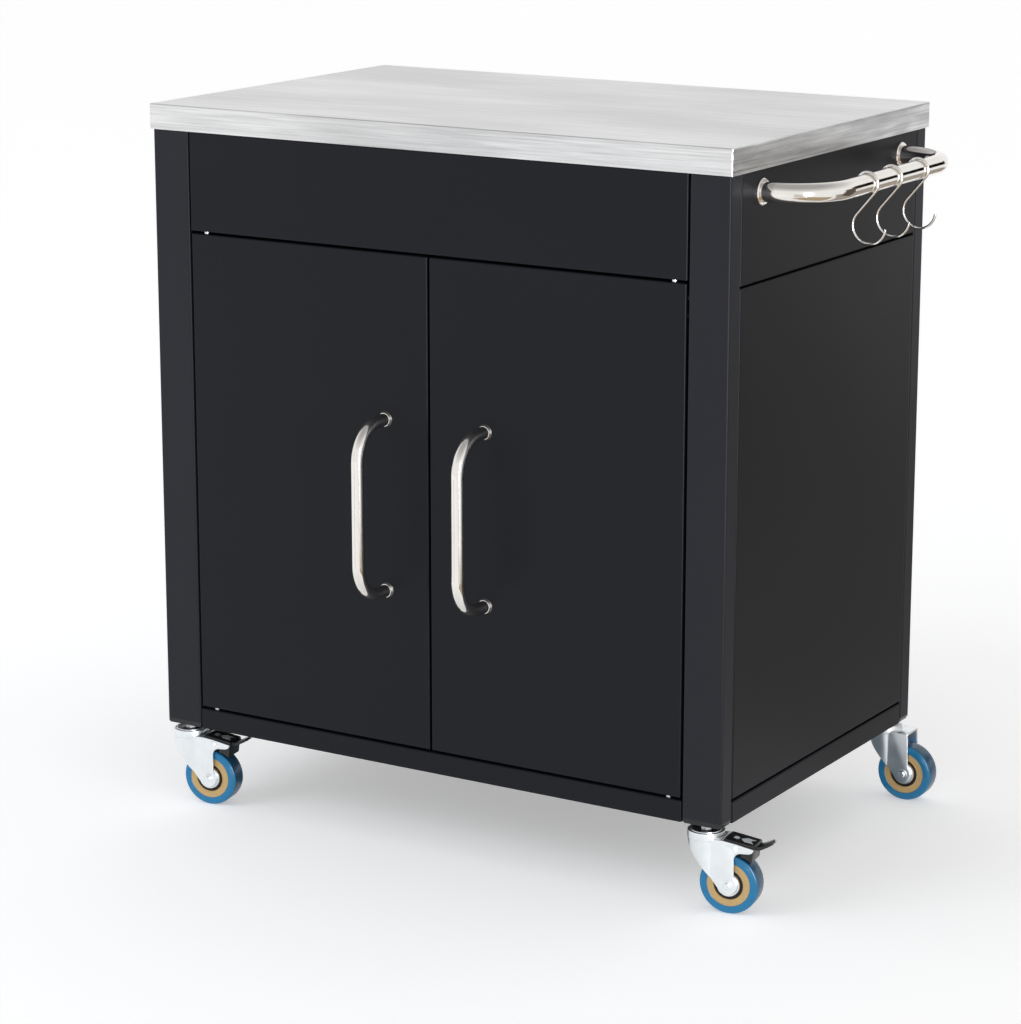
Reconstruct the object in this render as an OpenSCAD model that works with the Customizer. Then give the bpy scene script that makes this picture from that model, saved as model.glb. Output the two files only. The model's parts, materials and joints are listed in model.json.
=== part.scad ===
// Kitchen cart: a folded steel cabinet with two doors, a steel worktop,
// a towel rail with three hooks and four swivel casters.
// Millimetres, +Z up, front towards -Y, floor at Z = 0.

/* [Worktop] */
// Width of the worktop
worktop_w = 780; // [700:5:900]
// Depth of the worktop
worktop_d = 500; // [450:5:560]
// Height of the worktop's surface above the floor
worktop_z = 865; // [850:1:900]
// Depth of the worktop's turned-down edge
worktop_t = 30; // [26:1:40]
// Thickness of the worktop's stainless sheet
worktop_sheet = 1; // [0.8:0.1:1.5]
// Bend radius of the worktop's edges
worktop_bend = 2; // [1.6:0.1:3]
// Width of the hem turned in under the core
worktop_hem = 24; // [16:1:30]
// How far the worktop stands out past the cabinet
worktop_overhang = 3; // [1:0.5:8]

/* [Legs] */
// Width of a leg tube, seen from the front
leg_w = 50; // [44:1:60]
// Depth of a leg tube, seen from the side
leg_d = 25; // [22:1:35]
// Wall of a leg tube
leg_wall = 1.5; // [1.2:0.1:2.5]
// Radius of a leg tube's long corners
leg_corner = 2.5; // [2:0.1:4]
// Height of a leg's foot above the floor
leg_z = 100; // [99:1:110]
// Height of the foot that the plug shows
plug_foot_h = 5.5; // [5:0.5:10]
// Radius of the plug's lower corners
plug_corner = 5; // [2:0.5:5]
// How far the plug reaches up into the tube
plug_h = 34; // [28:1:45]

/* [Panels] */
// Thickness of the cabinet's steel sheet
sheet_t = 1; // [0.8:0.1:1.5]
// Outer bend radius of the folded panels
sheet_bend = 2; // [1.6:0.1:3]
// Depth of the panels' flanges
flange_d = 20; // [18:1:26]
// Gap between the front apron or the rear panel and a leg
apron_gap = 2.2; // [1.5:0.1:3]
// Gap between a side panel and a leg
side_gap = 0.8; // [0.5:0.1:1.5]
// Drop from the worktop's surface to the front apron's lower edge
apron_z = 148; // [135:1:165]
// Depth of the front apron's lower flange
apron_d = 36; // [34:1:45]
// Drop from the worktop's surface to the seam between a side's two panels
seam_z = 156; // [140:1:175]
// Width of that seam
seam_w = 2.5; // [1.5:0.1:4]
// Height of the base tray's rim
tray_h = 25; // [22:1:35]
// Gap between the base tray and what stands on its level
tray_gap = 1.2; // [0.8:0.1:2]
// Radius of a boss pressed out of a flange around a screw
boss_r = 7; // [6:0.5:9]

/* [Shelf] */
// Height of the middle shelf's surface
shelf_z = 420; // [300:5:560]
// Height of the middle shelf's rim
shelf_h = 20; // [16:1:30]
// Leg length of the angles that carry the shelf
angle_w = 22; // [18:1:30]

/* [Doors] */
// Gap between a door and its neighbours
door_gap = 3; // [2.5:0.1:4]
// Depth of a door
door_d = 20; // [18:1:24]
// Width of the lip around a door's open back
door_lip = 14; // [10:1:20]
// Distance of the door's pivot from its outer edge
pivot_in = 18; // [16:0.5:20]
// Distance of the door's pivot behind its front face
pivot_back = 7; // [6:0.5:8]
// Diameter of the pivot pins
pin_d = 5; // [5:0.5:7]
// How far a pivot pin reaches into its bracket
pin_reach = 14; // [10:1:16]
// Width of a pivot bracket
bracket_w = 32; // [28:1:40]
// Height of the top pivot bracket
bracket_h = 46; // [44:1:60]
// Height of the bottom pivot bracket
bracket_low_h = 20; // [18:1:30]
// Depth of the upper edge rivet below the door's top
rivet_drop = 16; // [12:1:20]
// Spacing of the two edge rivets
rivet_pitch = 20; // [16:1:24]

/* [Handles] */
// Diameter of the handle tube
handle_tube_d = 15; // [12:0.5:18]
// Spacing of the handle's feet
handle_pitch = 205; // [160:5:260]
// Height of the handle's middle
handle_z = 417; // [380:1:460]
// Distance of the handle's centreline from the door
handle_out = 58; // [52:1:70]
// Bend radius of the handle's centreline
handle_bend = 42; // [30:1:45]
// Distance of the left handle from the middle gap
handle_in_left = 60; // [40:1:90]
// Distance of the right handle from the middle gap
handle_in_right = 76; // [40:1:90]
// Diameter of the collar at a handle's foot
handle_collar_d = 19; // [17:0.5:24]
// Height of that collar
handle_collar_h = 3; // [2:0.5:5]

/* [Towel rail] */
// Diameter of the rail tube
rail_tube_d = 22; // [18:1:25]
// Spacing of the rail's ends
rail_pitch = 352; // [300:2:380]
// Drop from the worktop's surface to the rail
rail_z = 55; // [50:1:75]
// Distance of the rail's centreline from the side panel
rail_out = 72; // [68:1:85]
// Bend radius of the rail's centreline
rail_bend = 62; // [45:1:64]
// Wall of the rail tube
rail_wall = 1.2; // [1:0.1:2]
// Diameter of the rail's end flanges
rail_flange_d = 30; // [27:1:40]
// Thickness of the rail's end flanges
rail_flange_t = 3.5; // [3:0.5:6]

/* [Hooks] */
// Diameter of the hook wire
hook_wire_d = 3; // [2:0.5:4]
// Radius of the hook's lower loop at the wire's middle
hook_loop_r = 20; // [15:0.5:21]
// Drop from the rail's centre to the lower loop's centre
hook_drop = 47; // [44:1:52]
// Outward offset of the lower loop's centre from the rail's centre
hook_offset = 3; // [0:0.5:8]
// Angle at which the upper loop's end stops, from the outward direction
hook_end_angle = 152; // [120:1:170]
// Angle at which the lower loop's tip stops
hook_tip_angle = -6; // [-30:1:20]
// Places of the hooks along the rail, from its middle
hook_at = [-62, 0, 70];

/* [Casters] */
// Diameter of a wheel
wheel_d = 70; // [66:1:72]
// Width of a wheel
wheel_w = 24.6; // [22:0.2:25]
// Radius of the tyre's shoulders
tyre_shoulder = 3; // [1:0.5:5]
// Diameter of the wheel core that carries the tyre
core_d = 51; // [46:1:54]
// Diameter of the recess around the hub
recess_d = 35; // [32:1:40]
// Diameter of a thread guard
guard_d = 27; // [24:1:30]
// Offset of the wheel's axle from the swivel's centre
trail = 31; // [29:1:33]
// Diameter of the axle
axle_d = 6; // [5:0.5:8]
// Turn of the front casters at rest, in degrees
yaw_front = 9; // [0:1:20]
// Turn of the rear casters at rest, in degrees
yaw_rear = 2; // [0:1:20]
// Width of a fork over its cheeks
fork_w = 34; // [33:0.5:38]
// Thickness of the fork's steel
fork_t = 2.5; // [2:0.1:2.8]
// Diameter of the fork's swivel ring
ring_d = 43; // [41:1:47]
// Height of the swivel ring's rim
ring_z = 94; // [93:0.5:95]
// Height of the fork's crown
crown_z = 87.5; // [87:0.1:88]
// Diameter of the caster's stem
stem_d = 8; // [7:1:9]
// How far the stem reaches up into the plug
stem_reach = 26; // [18:1:28]
// Number of balls in a swivel head
ball_count = 8; // [6:1:10]
// Diameter of those balls
ball_d = 4; // [3:0.1:4]

/* [Brakes] */
// Distance of the brake's pivot from the swivel's centre
brake_pivot_x = 39.5; // [38.5:0.1:40.5]
// Height of the brake's pivot
brake_pivot_z = 80.3; // [79.5:0.1:81]
// Diameter of the brake's pivot pin
brake_pin_d = 5; // [4:0.5:5]
// Angle through which the pedal is pressed down, in degrees
press_angle = 10; // [8:0.5:12]
// How far the pedal slopes down at rest, in degrees
pedal_tilt = 9; // [7:0.5:11]
// Distance of the pedal's tip from the swivel's centre
pedal_tip_x = 79; // [76:1:82]
// Width of the pedal's tip
pedal_tip_w = 18; // [14:1:22]

/* [Hidden] */

$fn = 48;

// clearances
running_fit = 0.05;
loose_fit = 0.2;
surface_gap = 0.3;
bend_slack = 0.1;
cut = 1;

// outer size of the cabinet
cabinet_w = worktop_w - 2 * worktop_overhang;
cabinet_d = worktop_d - 2 * worktop_overhang;
cabinet_top = worktop_z - worktop_t;
side_x = cabinet_w / 2;
front_y = -cabinet_d / 2;
inner_w = cabinet_w - 2 * leg_w;
inner_d = cabinet_d - 2 * leg_d;
tray_top = leg_z + tray_h;
apron_low = worktop_z - apron_z;
seam_low = worktop_z - seam_z;
rail_axis = worktop_z - rail_z;
panel_z = tray_top + door_gap;

// middle of each leg
leg_x = side_x - leg_w / 2;
leg_y = cabinet_d / 2 - leg_d / 2;

// screws
screw_d = 5;
screw_head_d = 9;
screw_head_h = 2.5;
screw_end = 4;
screw_inset = 24;

// place of the whole object, with its origin under the middle of its outline
reach_right = side_x + rail_out
    + max(rail_tube_d / 2,
          hook_offset + (hook_loop_r + hook_wire_d / 2) * cos(min(hook_tip_angle, 0)));
reach_left = worktop_w / 2;
reach_front = -front_y + handle_out + handle_tube_d / 2;
reach_back = max(worktop_d / 2, leg_y + ring_d / 2);
frame_x = (reach_left - reach_right) / 2;
frame_y = (reach_front - reach_back) / 2;

module in_frame() { translate([frame_x, frame_y, 0]) children(); }

// Rectangle with round corners, centred
module round_rect(w, d, r)
{
    union() {
        square([w - 2 * r, d], center = true);
        square([w, d - 2 * r], center = true);
        for (x = [-1, 1], y = [-1, 1])
            translate([x * (w / 2 - r), y * (d / 2 - r)]) circle(r);
    }
}

// Block whose face at Z = 0 is turned down along all four edges with radius r; it fills Z from -d to 0
module folded_block(w, h, d, r)
{
    intersection() {
        rotate([90, 0, 0]) linear_extrude(h, center = true) folded_profile(w, d, r);
        rotate([90, 0, 90]) linear_extrude(w, center = true) folded_profile(h, d, r);
        linear_extrude(2 * d, center = true) round_rect(w, h, r);
    }
}

// Cross-section of that block: a rectangle below the axis with two rounded upper corners
module folded_profile(w, d, r)
{
    union() {
        translate([-w / 2 + r, -d]) square([w - 2 * r, d]);
        translate([-w / 2, -d]) square([w, d - r]);
        for (x = [-1, 1]) translate([x * (w / 2 - r), -r]) circle(r);
    }
}

// Sheet pan: a face at Z = 0 with four flanges turned down, and a lip around its open back
module pan(w, h, d, lip = 0)
{
    difference() {
        folded_block(w, h, d, sheet_bend);
        translate([0, 0, -sheet_t])
            folded_block(w - 2 * sheet_t, h - 2 * sheet_t, d - (lip > 0 ? 2 : 1) * sheet_t
                         + (lip > 0 ? 0 : cut), sheet_bend - sheet_t + bend_slack);
        if (lip > 0)
            translate([0, 0, -d]) cube([w - 2 * lip, h - 2 * lip, 4 * sheet_t], center = true);
    }
}

// A pan that stands upright with its face towards -Y; z0 and z1 are its lower and upper edges
module upright_pan(w, z0, z1, d, lip = 0)
{
    translate([0, 0, (z0 + z1) / 2]) rotate([90, 0, 0]) pan(w, z1 - z0, d, lip);
}

// Boss pressed out of a flange, whose outer face is at X = 0, towards +X by h
module boss(h)
{
    rotate([0, 90, 0]) translate([0, 0, -sheet_t / 2]) cylinder(h = h + sheet_t / 2, r = boss_r);
}

// Screw along +X whose head rests at X = 0; it goes through a grip and a wall behind it
module screw(grip, wall)
{
    rotate([0, 90, 0]) {
        cylinder(h = grip + wall + screw_end, d = screw_d);
        translate([0, 0, -screw_head_h]) cylinder(h = screw_head_h, d = screw_head_d);
        translate([0, 0, -screw_head_h]) rotate_extrude()
            intersection() {
                square([screw_head_d / 2, screw_head_h]);
                translate([0, screw_head_h]) circle(screw_head_d / 2);
            }
    }
}

// Hole for such a screw, along +X from X = 0
module screw_hole(length)
{
    translate([-cut, 0, 0]) rotate([0, 90, 0])
        cylinder(h = length + 2 * cut, d = screw_d + 2 * loose_fit);
}

// heights of the screws that hold the panels to the legs
apron_screws = [apron_low + screw_inset, cabinet_top - screw_inset];
upper_side_z = seam_low + seam_w;
upper_screws = [upper_side_z + screw_inset, cabinet_top - screw_inset];
lower_screws = [panel_z + screw_inset, (panel_z + seam_low) / 2, seam_low - screw_inset];
rear_screws = [panel_z + screw_inset, (panel_z + cabinet_top) / 2, cabinet_top - screw_inset];
tray_screw_z = leg_z + tray_h / 2;
side_screws = concat(upper_screws, lower_screws);

// places of the screws in the panels' flanges, behind the faces
screw_shift = 2;
front_screw_y = front_y + leg_d / 2;
side_screw_x = side_x - flange_d / 2 - screw_shift;

// doors and what they turn on
door_z0 = panel_z;
door_z1 = apron_low - door_gap;
door_w = (inner_w - 3 * door_gap) / 2;
door_x = inner_w / 2 - door_gap - door_w / 2;
pivot_x = inner_w / 2 - door_gap - pivot_in;
pivot_y = front_y + pivot_back;
bracket_y = front_y + sheet_bend + bend_slack;
bracket_d = door_d - sheet_bend - 2 * sheet_t;
bracket_corner = 1.5;
pin_head_d = pin_d + 3;
pin_shoulder_d = pin_d + 1.5;
pin_head_h = 3;
rivet_d = 3;
rivet_head_d = 6;
rivet_head_h = 1.2;
rivet_zs = [door_z1 - rivet_drop, door_z1 - rivet_drop - rivet_pitch];
handle_feet = [handle_z - handle_pitch / 2, handle_z + handle_pitch / 2];
handle_screw_d = 5;
handle_screw_l = 14;

// magnet catches under the apron's lower flange, behind the free edges of the doors
catch_w = 40;
catch_d = 14;
catch_h = 20;
catch_edge = 8;
catch_x = door_gap / 2 + catch_edge + catch_w / 2;
catch_y = front_y + door_d + surface_gap + catch_d / 2;
catch_screw_x = [for (s = [-1, 1], e = [-1, 1]) s * catch_x + e * catch_w / 4];

// shelf between the legs, on two angles that run from the front legs to the rear ones
shelf_front_y = pivot_y + norm([pivot_in, door_d - pivot_back]) + door_gap;
shelf_gap = 3;
shelf_back_y = cabinet_d / 2 - flange_d - shelf_gap;
shelf_w = inner_w - 2 * shelf_gap;
angle_x = (inner_w + leg_w - flange_d) / 2;
angle_z = shelf_z - shelf_h;
angle_screw_z = angle_z - angle_w / 2;

// screws from the panels' top flanges up into the worktop's core
worktop_screw_l = 12;
worktop_screw_x = inner_w / 4;
worktop_screw_points = concat(
    [for (x = [-1, 1], y = [-1, 1]) [x * worktop_screw_x, y * (cabinet_d / 2 - flange_d / 2)]],
    [for (x = [-1, 1]) [x * (side_x - flange_d / 2), 0]]
);

// Worktop

module worktop_shell()
{
    core_room = worktop_t - 2 * worktop_sheet;
    in_frame() color("lightgray") translate([0, 0, worktop_z])
    difference() {
        folded_block(worktop_w, worktop_d, worktop_t, worktop_bend);
        translate([0, 0, -worktop_sheet])
            folded_block(worktop_w - 2 * worktop_sheet, worktop_d - 2 * worktop_sheet,
                         core_room, worktop_bend - worktop_sheet + bend_slack);
        translate([0, 0, -worktop_t])
            cube([worktop_w - 2 * worktop_hem, worktop_d - 2 * worktop_hem,
                  4 * worktop_sheet], center = true);
        for (p = worktop_screw_points)
            translate([p[0], p[1], -worktop_t]) rotate([0, -90, 0]) screw_hole(worktop_sheet);
    }
}

module worktop_core()
{
    margin = worktop_sheet + loose_fit;
    core_t = worktop_t - 2 * worktop_sheet;
    in_frame() color("tan") translate([0, 0, cabinet_top + worktop_sheet])
    difference() {
        translate([0, 0, core_t]) folded_block(worktop_w - 2 * margin, worktop_d - 2 * margin,
                                               core_t, worktop_bend);
        for (p = worktop_screw_points)
            translate([p[0], p[1], 0]) rotate([0, -90, 0]) screw_hole(worktop_screw_l);
    }
}

// Legs

module leg(sx, sy)
{
    foot = leg_z + plug_foot_h;
    in_frame() color("#2b2c2f") difference() {
        translate([sx * leg_x, sy * leg_y, foot]) linear_extrude(cabinet_top - foot)
            difference() {
                round_rect(leg_w, leg_d, leg_corner);
                round_rect(leg_w - 2 * leg_wall, leg_d - 2 * leg_wall, leg_corner - leg_wall);
            }
        for (z = sy < 0 ? apron_screws : rear_screws)
            translate([sx * inner_w / 2, sy * leg_y, z]) mirror([sx < 0 ? 1 : 0, 0, 0])
                screw_hole(leg_wall);
        for (z = side_screws)
            translate([sx * side_screw_x, sy * inner_d / 2, z]) rotate([0, 0, sy * 90])
                screw_hole(leg_wall);
        translate([sx * side_screw_x, sy * inner_d / 2, tray_screw_z]) rotate([0, 0, sy * 90])
            screw_hole(leg_wall);
        translate([sx * angle_x, sy * inner_d / 2, angle_screw_z]) rotate([0, 0, sy * 90])
            screw_hole(leg_wall);
    }
}

module leg_plugs()
{
    in_frame() color("#232426") for (sx = [-1, 1], sy = [-1, 1])
        translate([sx * leg_x, sy * leg_y, leg_z]) difference() {
            union() {
                intersection() {
                    linear_extrude(plug_foot_h) round_rect(leg_w, leg_d, leg_corner);
                    rotate([90, 0, 0]) linear_extrude(2 * leg_d, center = true)
                        foot_profile();
                }
                linear_extrude(plug_h)
                    round_rect(leg_w - 2 * leg_wall - 2 * loose_fit,
                               leg_d - 2 * leg_wall - 2 * loose_fit, leg_corner - leg_wall);
            }
            translate([0, 0, -cut])
                cylinder(h = stem_reach + cut + loose_fit, d = stem_d + 2 * running_fit);
            translate([sx * (side_screw_x - leg_x), -sy * leg_d / 2, tray_h / 2])
                rotate([0, 0, sy * 90]) screw_hole(leg_wall + screw_end);
        }
}

// Front view of a plug's foot, with its two lower corners rounded
module foot_profile()
{
    r = min(plug_corner, plug_foot_h - bend_slack);
    union() {
        translate([-leg_w / 2 + r, 0]) square([leg_w - 2 * r, plug_foot_h]);
        translate([-leg_w / 2, r]) square([leg_w, plug_foot_h - r]);
        for (x = [-1, 1]) translate([x * (leg_w / 2 - r), r]) circle(r);
    }
}

// Panels

module front_apron()
{
    w = inner_w - 2 * apron_gap;
    in_frame() color("#2b2c2f") difference() {
        union() {
            translate([0, front_y, 0]) upright_pan(w, apron_low, cabinet_top, apron_d);
            for (s = [-1, 1], z = apron_screws)
                translate([s * w / 2, front_screw_y, z]) mirror([s < 0 ? 1 : 0, 0, 0])
                    boss(apron_gap);
        }
        for (s = [-1, 1], z = apron_screws)
            translate([s * (w / 2 - sheet_t), front_screw_y, z])
                mirror([s < 0 ? 1 : 0, 0, 0]) screw_hole(sheet_t + apron_gap);
        for (s = [-1, 1]) translate([s * pivot_x, pivot_y, apron_low])
            cylinder(h = 4 * sheet_t, d = pin_d + 2 * loose_fit, center = true);
        for (p = worktop_screw_points) translate([p[0], p[1], cabinet_top - sheet_t])
            rotate([0, -90, 0]) screw_hole(sheet_t);
        for (x = catch_screw_x) translate([x, catch_y, apron_low])
            rotate([0, -90, 0]) screw_hole(sheet_t);
    }
}

module rear_panel()
{
    w = inner_w - 2 * apron_gap;
    in_frame() color("#2b2c2f") difference() {
        union() {
            mirror([0, 1, 0]) translate([0, front_y, 0])
                upright_pan(w, panel_z, cabinet_top, flange_d);
            for (s = [-1, 1], z = rear_screws)
                translate([s * w / 2, -front_screw_y, z]) mirror([s < 0 ? 1 : 0, 0, 0])
                    boss(apron_gap);
        }
        for (s = [-1, 1], z = rear_screws)
            translate([s * (w / 2 - sheet_t), -front_screw_y, z])
                mirror([s < 0 ? 1 : 0, 0, 0]) screw_hole(sheet_t + apron_gap);
        for (p = worktop_screw_points) translate([p[0], p[1], cabinet_top - sheet_t])
            rotate([0, -90, 0]) screw_hole(sheet_t);
    }
}

// Side panel on the side s, from height z0 to z1, with screws at the given heights
module side_panel(s, z0, z1, screws, top)
{
    w = inner_d - 2 * side_gap;
    in_frame() color("#2f2f2e") mirror([s < 0 ? 1 : 0, 0, 0]) difference() {
        union() {
            translate([side_x, 0, 0]) rotate([0, 0, 90]) upright_pan(w, z0, z1, flange_d);
            for (e = [-1, 1], z = screws)
                translate([side_screw_x, e * w / 2, z]) rotate([0, 0, e * 90]) boss(side_gap);
        }
        for (e = [-1, 1], z = screws)
            translate([side_screw_x, e * (w / 2 - sheet_t), z]) rotate([0, 0, e * 90])
                screw_hole(sheet_t + side_gap);
        if (top) {
            translate([side_x - flange_d / 2, 0, cabinet_top - sheet_t]) rotate([0, -90, 0])
                screw_hole(sheet_t);
            if (s > 0) for (e = [-1, 1])
                translate([side_x - sheet_t, e * rail_pitch / 2, rail_axis])
                    screw_hole(sheet_t);
        }
    }
}

// Base tray: two crossed pans, so that its rim closes both the front and the sides between legs
module base_tray()
{
    w_mid = inner_w - 2 * tray_gap;
    d_mid = inner_d - 2 * tray_gap;
    in_frame() color("#2b2c2f") translate([0, 0, tray_top]) difference() {
        union() {
            folded_block(w_mid, cabinet_d, tray_h, sheet_bend);
            folded_block(cabinet_w, d_mid, tray_h, sheet_bend);
            for (sx = [-1, 1], sy = [-1, 1])
                translate([sx * side_screw_x, sy * d_mid / 2, -tray_h / 2])
                    rotate([0, 0, sy * 90]) boss(tray_gap);
        }
        translate([0, 0, -sheet_t]) union() {
            folded_block(w_mid - 2 * sheet_t, cabinet_d - 2 * sheet_t, tray_h, sheet_bend);
            folded_block(cabinet_w - 2 * sheet_t, d_mid - 2 * sheet_t, tray_h, sheet_bend);
        }
        for (sx = [-1, 1], sy = [-1, 1])
            translate([sx * side_screw_x, sy * (d_mid / 2 - sheet_t), -tray_h / 2])
                rotate([0, 0, sy * 90]) screw_hole(sheet_t + tray_gap);
        for (s = [-1, 1]) translate([s * pivot_x, pivot_y, 0])
            cylinder(h = 4 * sheet_t, d = pin_d + 2 * loose_fit, center = true);
    }
}

// Shelf and its angles

module middle_shelf()
{
    in_frame() color("#2f2f31")
        translate([0, (shelf_front_y + shelf_back_y) / 2, shelf_z])
            pan(shelf_w, shelf_back_y - shelf_front_y, shelf_h);
}

// Angle under each end of the shelf: a level leg, an upright leg, and a tab at each end that is
// screwed to the leg tube
module shelf_angles()
{
    web_x = shelf_w / 2 - sheet_t;
    tab_w = angle_x + screw_head_d / 2 + screw_shift - web_x;
    in_frame() color("#3a3a3c") for (s = [0, 1]) mirror([s, 0, 0]) difference() {
        union() {
            translate([shelf_w / 2 - angle_w, shelf_front_y, angle_z - sheet_t])
                cube([angle_w, -2 * shelf_front_y, sheet_t]);
            translate([web_x, -inner_d / 2, angle_z - angle_w])
                cube([sheet_t, inner_d, angle_w]);
            for (e = [0, 1]) mirror([0, e, 0])
                translate([web_x, -inner_d / 2, angle_z - angle_w])
                    cube([tab_w, sheet_t, angle_w]);
        }
        for (e = [-1, 1])
            translate([angle_x, e * (inner_d / 2 - sheet_t), angle_screw_z])
                rotate([0, 0, e * 90]) screw_hole(sheet_t);
    }
}

module cabinet_screws()
{
    w = inner_w - 2 * apron_gap;
    d = inner_d - 2 * side_gap;
    in_frame() color("silver") {
        for (s = [0, 1]) mirror([s, 0, 0]) {
            for (z = apron_screws) translate([w / 2 - sheet_t, front_screw_y, z])
                screw(sheet_t + apron_gap, leg_wall);
            for (z = rear_screws) translate([w / 2 - sheet_t, -front_screw_y, z])
                screw(sheet_t + apron_gap, leg_wall);
            for (e = [-1, 1]) {
                for (z = side_screws)
                    translate([side_screw_x, e * (d / 2 - sheet_t), z]) rotate([0, 0, e * 90])
                        screw(sheet_t + side_gap, leg_wall);
                translate([side_screw_x, e * (inner_d / 2 - tray_gap - sheet_t), tray_screw_z])
                    rotate([0, 0, e * 90]) screw(sheet_t + tray_gap, leg_wall);
                translate([angle_x, e * (inner_d / 2 - sheet_t), angle_screw_z])
                    rotate([0, 0, e * 90]) screw(sheet_t, leg_wall);
            }
        }
        for (p = worktop_screw_points) translate([p[0], p[1], cabinet_top - sheet_t])
            rotate([0, -90, 0]) screw(sheet_t, worktop_screw_l - screw_end - 1);
        for (x = catch_screw_x) translate([x, catch_y, apron_low + sheet_t])
            rotate([0, 90, 0]) screw(sheet_t, catch_h / 2 - screw_end);
        for (e = [-1, 1]) translate([side_x - sheet_t, e * rail_pitch / 2, rail_axis])
            screw(sheet_t, rail_flange_t);
    }
}

// Doors

// Door on the side s (-1 left, 1 right) with its handle's feet at x = handle_x
module door(s, handle_x)
{
    in_frame() color("#2b2c2f") difference() {
        translate([s * door_x, front_y, 0]) upright_pan(door_w, door_z0, door_z1, door_d, door_lip);
        for (z = [door_z0, door_z1]) translate([s * pivot_x, pivot_y, z])
            cylinder(h = 4 * sheet_t, d = pin_d + 4 * loose_fit, center = true);
        for (z = rivet_zs)
            translate([s * (door_x + door_w / 2), pivot_y, z]) rotate([0, 90, 0])
                cylinder(h = 4 * sheet_t, d = rivet_d + 2 * running_fit, center = true);
        for (z = handle_feet) translate([handle_x, front_y, z]) rotate([90, 0, 0])
            cylinder(h = 4 * sheet_t, d = handle_screw_d + 2 * loose_fit, center = true);
    }
}

// Pivot brackets inside that door; the top one is riveted through the door's outer edge
module pivot_brackets(s)
{
    inside = door_x + door_w / 2 - sheet_t;
    in_frame() color("silver") mirror([s < 0 ? 1 : 0, 0, 0]) difference() {
        union() {
            translate([inside - bracket_w / 2, bracket_y, door_z1 - sheet_t - bracket_h / 2])
                bracket_block(bracket_h);
            translate([inside - bracket_w / 2, bracket_y, door_z0 + sheet_t + bracket_low_h / 2])
                bracket_block(bracket_low_h);
            for (z = rivet_zs) translate([inside - cut, pivot_y, z]) rotate([0, 90, 0]) {
                cylinder(h = sheet_t + cut + rivet_head_h / 2, d = rivet_d);
                translate([0, 0, sheet_t + cut]) rivet_head(rivet_head_d, rivet_head_h);
            }
        }
        for (z = [door_z1 - pin_reach - door_gap, door_z0 + sheet_t - cut])
            translate([pivot_x, pivot_y, z])
                cylinder(h = pin_reach + door_gap, d = pin_d + 2 * running_fit);
    }
}

// Block of height h behind Y = 0, with its upright corners rounded to clear the door's bends
module bracket_block(h)
{
    rotate([-90, 0, 0]) linear_extrude(bracket_d) round_rect(bracket_w, h, bracket_corner);
}

// Low dome of diameter d and height h, standing on Z = 0
module rivet_head(d, h)
{
    r = (pow(d / 2, 2) + pow(h, 2)) / (2 * h);
    rotate_extrude() intersection() {
        square([d / 2, h]);
        translate([0, h - r]) circle(r, $fn = 64);
    }
}

module hinge_pins()
{
    in_frame() color("white") for (s = [-1, 1]) translate([s * pivot_x, pivot_y, 0]) {
        translate([0, 0, door_z1 - pin_reach + door_gap])
            cylinder(h = apron_low + sheet_t - door_z1 + pin_reach - door_gap, d = pin_d);
        translate([0, 0, door_z1 + surface_gap])
            cylinder(h = apron_low - door_z1 - surface_gap, d = pin_shoulder_d);
        translate([0, 0, apron_low + sheet_t]) cylinder(h = pin_head_h, d = pin_head_d);
        translate([0, 0, tray_top - sheet_t])
            cylinder(h = door_z0 - tray_top + sheet_t + pin_reach - door_gap, d = pin_d);
        translate([0, 0, tray_top])
            cylinder(h = door_z0 - tray_top - surface_gap, d = pin_shoulder_d);
        translate([0, 0, tray_top - sheet_t - pin_head_h])
            cylinder(h = pin_head_h, d = pin_head_d);
    }
}

module magnet_catches()
{
    in_frame() color("#303030") difference() {
        for (s = [-1, 1]) translate([s * catch_x, catch_y, apron_low - catch_h / 2])
            cube([catch_w, catch_d, catch_h], center = true);
        for (x = catch_screw_x) translate([x, catch_y, apron_low - catch_h / 2 - cut])
            cylinder(h = catch_h, d = screw_d + 2 * loose_fit);
    }
}

// Tube bent twice, centred on the origin: its ends lie at Z = -pitch/2 and pitch/2 on the plane
// Y = 0, and its straight middle lies at Y = -out. The bore is left out where wall is 0.
module bent_tube(pitch, out, bend, d, wall = 0)
{
    for (e = [0, 1]) mirror([0, 0, e]) {
        translate([0, 0, pitch / 2]) rotate([90, 0, 0])
            linear_extrude(out - bend) tube_section(d, wall);
        translate([0, bend - out, pitch / 2 - bend]) rotate([90, 0, -90])
            rotate_extrude(angle = 90) translate([bend, 0]) tube_section(d, wall);
        translate([0, -out, 0]) linear_extrude(pitch / 2 - bend) tube_section(d, wall);
    }
}

module tube_section(d, wall)
{
    difference() {
        circle(d = d);
        if (wall > 0) circle(d = d - 2 * wall);
    }
}

module handle(handle_x)
{
    in_frame() color("gainsboro") translate([handle_x, front_y, handle_z]) difference() {
        union() {
            bent_tube(handle_pitch, handle_out, handle_bend, handle_tube_d);
            for (e = [-1, 1]) translate([0, 0, e * handle_pitch / 2]) rotate([90, 0, 0])
                cylinder(h = handle_collar_h, d1 = handle_collar_d, d2 = handle_tube_d + 1);
        }
        for (e = [-1, 1]) translate([0, cut, e * handle_pitch / 2]) rotate([90, 0, 0])
            cylinder(h = handle_screw_l + cut, d = handle_screw_d + 2 * running_fit);
    }
}

module handle_screws(handle_x)
{
    in_frame() color("silver") for (z = handle_feet)
        translate([handle_x, front_y + sheet_t, z]) rotate([90, 0, 0]) {
            cylinder(h = sheet_t + handle_screw_l - cut, d = handle_screw_d);
            translate([0, 0, -screw_head_h]) cylinder(h = screw_head_h, d = screw_head_d);
        }
}

// Towel rail

rail_chamfer = 1;
rail_spigot = 6;

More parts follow.
